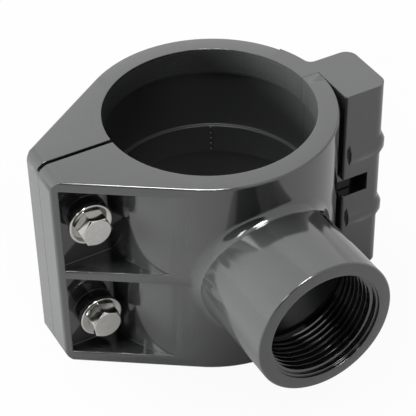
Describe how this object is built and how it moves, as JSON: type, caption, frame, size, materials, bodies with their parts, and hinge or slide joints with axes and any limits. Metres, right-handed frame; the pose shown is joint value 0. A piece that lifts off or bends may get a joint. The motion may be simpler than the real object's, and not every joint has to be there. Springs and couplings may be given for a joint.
{
  "type": "tapping saddle",
  "caption": "Hinged plastic clamp saddle for a pipe, with a threaded outlet branch, a hinge block on one side and bolts through ribbed flanges on the other.",
  "frame": {"origin": "pipe axis at the lower end face of the saddle", "axes": "+Z along the pipe axis, -Y out of the outlet branch, -X towards the bolted flanges, +X towards the hinge"},
  "size_m": [0.1288, 0.1223, 0.081],
  "materials": {
    "pvc": "moulded dark grey unplasticised PVC, satin to glossy",
    "steel": "polished stainless steel",
    "seal": "matt black EPDM"
  },
  "bodies": {
    "strap": {"strap_half": "pvc", "hinge_pin": "steel", "rear_washer_upper": "steel", "rear_washer_lower": "steel", "nut_upper": "steel", "nut_lower": "steel"},
    "outlet": {"outlet_half": "pvc", "seal_ring": "seal"},
    "upper_bolt": {"bolt_upper": "steel", "front_washer_upper": "steel"},
    "lower_bolt": {"bolt_lower": "steel", "front_washer_lower": "steel"}
  },
  "joints": [
    {"name": "clamp_hinge", "type": "hinge", "parent": "strap", "child": "outlet", "pos_m": [0.0496, -0.0094, 0.0405], "axis": [0, 0, 1], "range_deg": [0, 4.2]},
    {"name": "upper_bolt_travel", "type": "slide", "parent": "strap", "child": "upper_bolt", "axis": [0, -1, 0], "range_m": [0, 0.0085]},
    {"name": "lower_bolt_travel", "type": "slide", "parent": "strap", "child": "lower_bolt", "axis": [0, -1, 0], "range_m": [0, 0.0085]}
  ],
  "couplings": [
    {"joint": "upper_bolt_travel", "follows": "clamp_hinge", "m_per_rad": 0.1135},
    {"joint": "lower_bolt_travel", "follows": "clamp_hinge", "m_per_rad": 0.1135}
  ]
}
